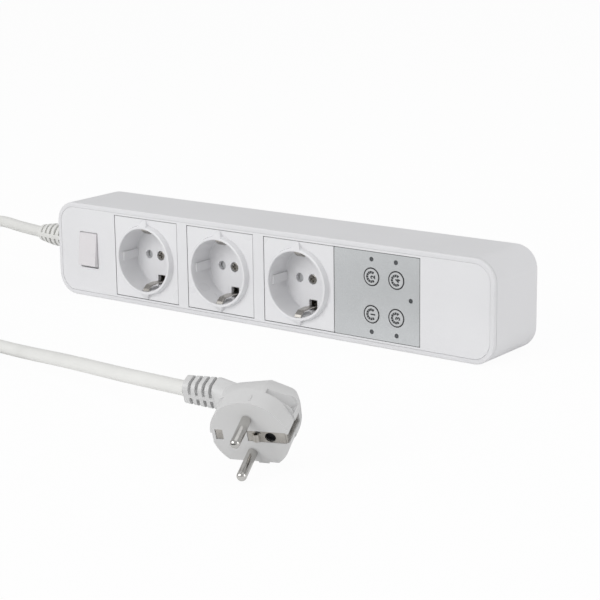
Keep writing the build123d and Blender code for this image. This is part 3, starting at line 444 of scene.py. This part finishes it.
class STRIP_OT_key_marks(bpy.types.Operator):
    """Power sign in blocks and a digit in its opening, printed on each button."""

    bl_idname = "strip.key_marks"
    bl_label = "Button marks"

    def execute(self, context):
        sizes = context.scene.strip_sizes
        ink = finish_named("ink")
        lift = sizes.mark_thickness / 2
        blocks, gap = 9, radians(5)
        span = 2 * pi - sizes.arc_opening
        sign = flat_ring(sizes.arc_outer, sizes.arc_inner, 144)
        mesh = bmesh.from_edit_mesh(sign.data)
        for face in mesh.faces:
            spot = face.calc_center_median()
            turn = -Vector((1, 0)).angle_signed(Vector((spot.x, spot.y)))
            along = turn % (2 * pi) - sizes.arc_opening / 2
            in_block = 0 < along < span and along % (span / blocks) > gap
            face.select_set(not in_block)
        bmesh.update_edit_mesh(sign.data)
        bpy.ops.mesh.delete(type="FACE")
        bpy.ops.object.mode_set(mode="OBJECT")
        thicken(sign, sizes.mark_thickness)
        for number in range(1, 5):
            x, y, z = key_middle(number)
            copy = sign.copy()
            copy.data = sign.data.copy()
            context.scene.collection.objects.link(copy)
            copy.matrix_world = facing_out(x, y - lift, z)
            finished(copy, f"key_sign_{number}", ink, f"key_{number}")
            self.digit(context, number, (x + DIGIT_SHIFT * MM, y - lift, z), sizes, ink)
        bpy.data.objects.remove(sign)
        return {"FINISHED"}

    def digit(self, context, number, place, sizes, ink):
        """One digit, its top towards -X."""
        clear_selection()
        bpy.ops.object.text_add()
        text = context.object
        text.data.body = str(number)
        text.data.size = sizes.digit_height / DIGIT_HEIGHT_SHARE
        text.data.align_x, text.data.align_y = "CENTER", "CENTER"
        text.data.offset = DIGIT_BOLDNESS * MM
        text.data.extrude = sizes.mark_thickness / 2
        bpy.ops.object.convert(target="MESH")
        text = context.object
        text.matrix_world = facing_out(*place, turned=True)
        finished(text, f"key_digit_{number}", ink, f"key_{number}")


class STRIP_OT_key_collars(bpy.types.Operator):
    """Dark collar down in the gap round each button, and a dark sleeve on each button's rim: both painted shade of
    the gap.
    """

    bl_idname = "strip.key_collars"
    bl_label = "Button shade rings"

    def execute(self, context):
        panel_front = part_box("button_panel")[0][1]
        key_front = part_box("button_1")[0][1]
        cap = CAP_RADIUS * MM
        seat = panel_front + 0.8 * MM
        # The collar and the sleeve are black rings that stand in for the shade down in the gap round a button:
        # painted shade.
        # name, outer and inner radius, front and back of each ring, and whether it moves with the button
        rings = (("key_gap_shade", cap + 0.63 * MM, cap + 0.32 * MM, panel_front - 0.02 * MM, seat, False),
                 ("key_rim_shade", cap + 0.26 * MM, cap - 0.02 * MM, key_front + 0.1 * MM, seat, True))
        for name, outer, inner, front, back, moves in rings:
            ring = flat_ring(outer, inner)
            bpy.ops.object.mode_set(mode="OBJECT")
            thicken(ring, back - front)
            for number in range(1, 5):
                x, _, z = key_middle(number)
                copy = ring.copy()
                copy.data = ring.data.copy()
                context.scene.collection.objects.link(copy)
                copy.matrix_world = facing_out(x, (front + back) / 2, z)
                finished(copy, f"{name}_{number}", finish_named("black plastic"),
                         f"key_{number}" if moves else "strip")
            bpy.data.objects.remove(ring)
        return {"FINISHED"}


class STRIP_OT_gap_liners(bpy.types.Operator):
    """Dark strip down in the gap round each socket module and round the panel: painted shade of the gap."""

    bl_idname = "strip.gap_liners"
    bl_label = "Gap shade strips"

    def execute(self, context):
        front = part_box("fascia")[0][1]
        low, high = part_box("socket_insert_1")
        middle, height = (low[2] + high[2]) / 2, high[2] - low[2]
        places = [(f"module_gap_shade_{number}", x * MM, height, 0.6) for number, x in enumerate(MODULE_XS, start=1)]
        places.append(("panel_gap_shade", PANEL_X * MM, PANEL_WIDTH * MM, 0.3))
        for name, x, width, depth in places:
            clear_selection()
            bpy.ops.mesh.primitive_plane_add(size=1.0)
            shade_strip = context.object
            shade_strip.scale = (width + 2 * GAP_REACH * MM, height + 2 * GAP_REACH * MM, 1.0)
            bpy.ops.object.transform_apply(location=False, rotation=False, scale=True)
            bpy.ops.object.mode_set(mode="EDIT")
            bpy.ops.mesh.select_all(action="SELECT")
            bpy.ops.mesh.inset(thickness=SHADE_STRIP_WIDTH * MM)
            bpy.ops.mesh.delete(type="FACE")
            bpy.ops.object.mode_set(mode="OBJECT")
            thicken(shade_strip, SHADE_STRIP_THICKNESS * MM)
            # Black frame down in the gap, standing in for the gap's shade: painted shade.
            shade_strip.matrix_world = facing_out(x, front + depth * MM, middle)
            finished(shade_strip, name, finish_named("black plastic"), "strip")
        return {"FINISHED"}


class STRIP_OT_plug_details(bpy.types.Operator):
    """Dark cup in the plug's earth hole, painted shade of the hole, and a raised mark on the nose."""

    bl_idname = "strip.plug_details"
    bl_label = "Plug details"

    def execute(self, context):
        clear_selection()
        bpy.ops.mesh.primitive_cylinder_add(vertices=48, radius=2.58 * MM, depth=2.4 * MM)
        cup = context.object
        bpy.ops.object.mode_set(mode="EDIT")
        mesh = bmesh.from_edit_mesh(cup.data)
        for face in mesh.faces:
            face.select_set(face.normal.z > 0.5)
        bmesh.update_edit_mesh(cup.data)
        bpy.ops.mesh.inset(thickness=0.2 * MM)
        bpy.ops.transform.translate(value=(0, 0, -2.0 * MM))
        bpy.ops.object.mode_set(mode="OBJECT")
        # Black cup in the earth hole, standing in for the hole's shade: painted shade.
        cup.matrix_world = facing_plug(10.0, 0.0, 2.2)
        finished(cup, "plug_earth_hole_shade", finish_named("black plastic"), "strip")
        clear_selection()
        bpy.ops.mesh.primitive_cube_add(size=1.0)
        mark = context.object
        mark.scale = (0.9 * MM, 0.5 * MM, 4.0 * MM)
        bpy.ops.object.transform_apply(location=False, rotation=False, scale=True)
        bpy.ops.object.mode_set(mode="EDIT")
        bpy.ops.mesh.select_all(action="SELECT")
        bpy.ops.mesh.bevel(offset=0.12 * MM, segments=2)
        bpy.ops.object.mode_set(mode="OBJECT")
        mark.matrix_world = facing_plug(2.0, 18.95, 4.0)
        finished(mark, "plug_mark", finish_named("plug white"), "strip")
        return {"FINISHED"}


class STRIP_OT_stage(bpy.types.Operator):
    """Floor, soft lights, world and camera."""

    bl_idname = "strip.stage"
    bl_label = "Studio"

    def execute(self, context):
        clear_selection()
        bpy.ops.mesh.primitive_plane_add(size=24.0, location=(0, 4.0, -0.0004))
        floor = context.object
        floor.name = "studio_floor"
        floor.data.materials.append(studio_floor("studio floor"))
        self.flags()
        self.lights(context)
        self.world(context)
        self.camera(context)
        context.scene.view_settings.view_transform = "Standard"
        return {"FINISHED"}

    def flags(self):
        """Dark cards that only shiny surfaces see, which give the metal its dark edges."""
        dark = Finish("flag black")
        dark.surface(Base_Color=dark.blend(dark.noise(3.0), (0.01, 0.01, 0.01), (0.02, 0.02, 0.02)), Roughness=0.9)
        near_plug, before_strip = ((0.12, -0.42, 0.0002), (0.34, 0.26)), ((-0.05, -0.12, 0.0002), (0.5, 0.1))
        for place, size in (near_plug, before_strip):
            clear_selection()
            bpy.ops.mesh.primitive_plane_add(size=1.0, location=place)
            card = bpy.context.object
            card.name = "studio_flag"
            card.scale = (*size, 1.0)
            card.data.materials.append(dark.material)
            card.visible_camera = card.visible_diffuse = card.visible_shadow = card.visible_transmission = False

    def lights(self, context):
        """Large soft lamps: a key in front, a fill on the right and a weak one above."""
        for name, place, size, watts in (("key", (-0.5, -1.75, 0.85), 1.3, 16.8),
                                         ("fill", (1.9, 0.35, 0.6), 1.2, 8.3),
                                         ("top", (0.2, 0.4, 2.0), 1.8, 5.0)):
            lamp = bpy.data.lights.new(name, "AREA")
            lamp.shape, lamp.size, lamp.energy = "SQUARE", size, watts
            holder = bpy.data.objects.new(name, lamp)
            holder.location = place
            holder.rotation_euler = (Vector((0, -0.05, 0.02)) - Vector(place)).to_track_quat("-Z", "Y").to_euler()
            context.scene.collection.objects.link(holder)

    def world(self, context):
        """Even sky that the camera sees as white, and that glossy and other rays see at a little over half
        strength.
        """
        world = bpy.data.worlds.new("studio")
        context.scene.world = world
        world.use_nodes = True
        tree = world.node_tree
        background = tree.nodes["Background"]
        rays = tree.nodes.new("ShaderNodeLightPath")
        either = tree.nodes.new("ShaderNodeMath")
        either.operation = "MAXIMUM"
        tree.links.new(rays.outputs["Is Camera Ray"], either.inputs[0])
        tree.links.new(rays.outputs["Is Transmission Ray"], either.inputs[1])
        strength = tree.nodes.new("ShaderNodeMapRange")
        strength.inputs["To Min"].default_value = 0.56
        strength.inputs["To Max"].default_value = 1.0
        tree.links.new(either.outputs[0], strength.inputs["Value"])
        tree.links.new(strength.outputs[0], background.inputs["Strength"])
        background.inputs["Color"].default_value = (1, 1, 1, 1)

    def camera(self, context):
        """Long lens, a little above the strip and to its right."""
        azimuth, elevation, roll = radians(36.878), radians(13.804), radians(-0.782)
        back = Vector((sin(azimuth) * cos(elevation), -cos(azimuth) * cos(elevation), sin(elevation)))
        across = Vector((0, 0, 1)).cross(back).normalized()
        up = back.cross(across)
        side = across * cos(roll) + up * sin(roll)
        top = up * cos(roll) - across * sin(roll)
        camera = bpy.data.objects.new("camera", bpy.data.cameras.new("camera"))
        camera.data.lens, camera.data.sensor_width = 110.0, 36.0
        turn = Matrix((side, top, back)).transposed().to_4x4()
        camera.matrix_world = Matrix.Translation((0.6572, -0.8568, 0.2768)) @ turn
        context.scene.collection.objects.link(camera)
        context.scene.camera = camera


class STRIP_PT_panel(bpy.types.Panel):
    """Lists the steps and what they read."""

    bl_idname = "STRIP_PT_panel"
    bl_label = "Power strip"
    bl_space_type = "VIEW_3D"
    bl_region_type = "UI"
    bl_category = "Power strip"

    def draw(self, context):
        for group in (context.scene.strip_sizes, context.scene.strip_colours):
            for name in group.__annotations__:
                self.layout.prop(group, name)
        for operator in OPERATORS:
            self.layout.operator(operator.bl_idname)


OPERATORS = (STRIP_OT_finishes, STRIP_OT_stage, STRIP_OT_lead, STRIP_OT_key_marks, STRIP_OT_key_collars,
             STRIP_OT_gap_liners, STRIP_OT_plug_details)
CLASSES = (StripSizes, StripColours, *OPERATORS, STRIP_PT_panel)


def register():
    for item in CLASSES:
        bpy.utils.register_class(item)
    bpy.types.Scene.strip_sizes = bpy.props.PointerProperty(type=StripSizes)
    bpy.types.Scene.strip_colours = bpy.props.PointerProperty(type=StripColours)


def unregister():
    del bpy.types.Scene.strip_colours
    del bpy.types.Scene.strip_sizes
    for item in reversed(CLASSES):
        bpy.utils.unregister_class(item)


def main():
    """Make everything."""
    register()
    bpy.ops.strip.finishes()
    bpy.ops.strip.stage()
    bpy.ops.strip.lead()
    bpy.ops.strip.key_marks()
    bpy.ops.strip.key_collars()
    bpy.ops.strip.gap_liners()
    bpy.ops.strip.plug_details()


if __name__ == "__main__":
    main()
